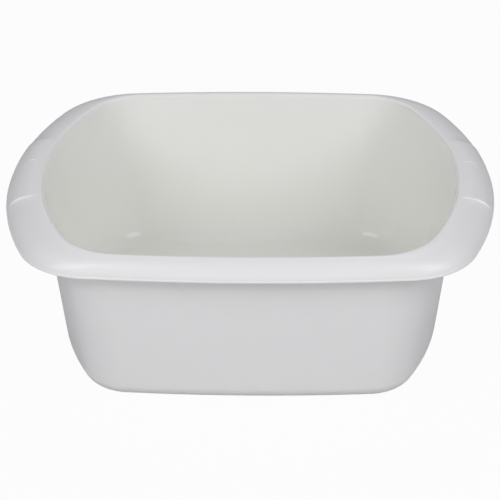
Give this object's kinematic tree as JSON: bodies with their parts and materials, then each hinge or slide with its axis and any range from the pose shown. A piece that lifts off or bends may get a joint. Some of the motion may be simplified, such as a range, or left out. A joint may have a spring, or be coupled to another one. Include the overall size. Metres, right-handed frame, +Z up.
{
  "type": "washing up bowl",
  "caption": "Oblong plastic washing up bowl with tapered walls, a rolled rim and a wide hand-hold at each end.",
  "frame": {"origin": "on the ground under the middle of the bowl", "axes": "+X towards the right handle, +Y towards the back long side, +Z up out of the basin"},
  "size_m": [0.39, 0.312, 0.14],
  "materials": {
    "bowl": "satin white moulded polypropylene"
  },
  "bodies": {
    "root": {"basin_floor": "bowl", "foot_ring": "bowl", "front_wall": "bowl", "back_wall": "bowl", "left_wall": "bowl", "right_wall": "bowl", "front_left_wall": "bowl", "front_right_wall": "bowl", "back_left_wall": "bowl", "back_right_wall": "bowl", "front_rim": "bowl", "back_rim": "bowl", "left_handle": "bowl", "right_handle": "bowl", "front_left_rim": "bowl", "front_right_rim": "bowl", "back_left_rim": "bowl", "back_right_rim": "bowl"}
  },
  "joints": []
}
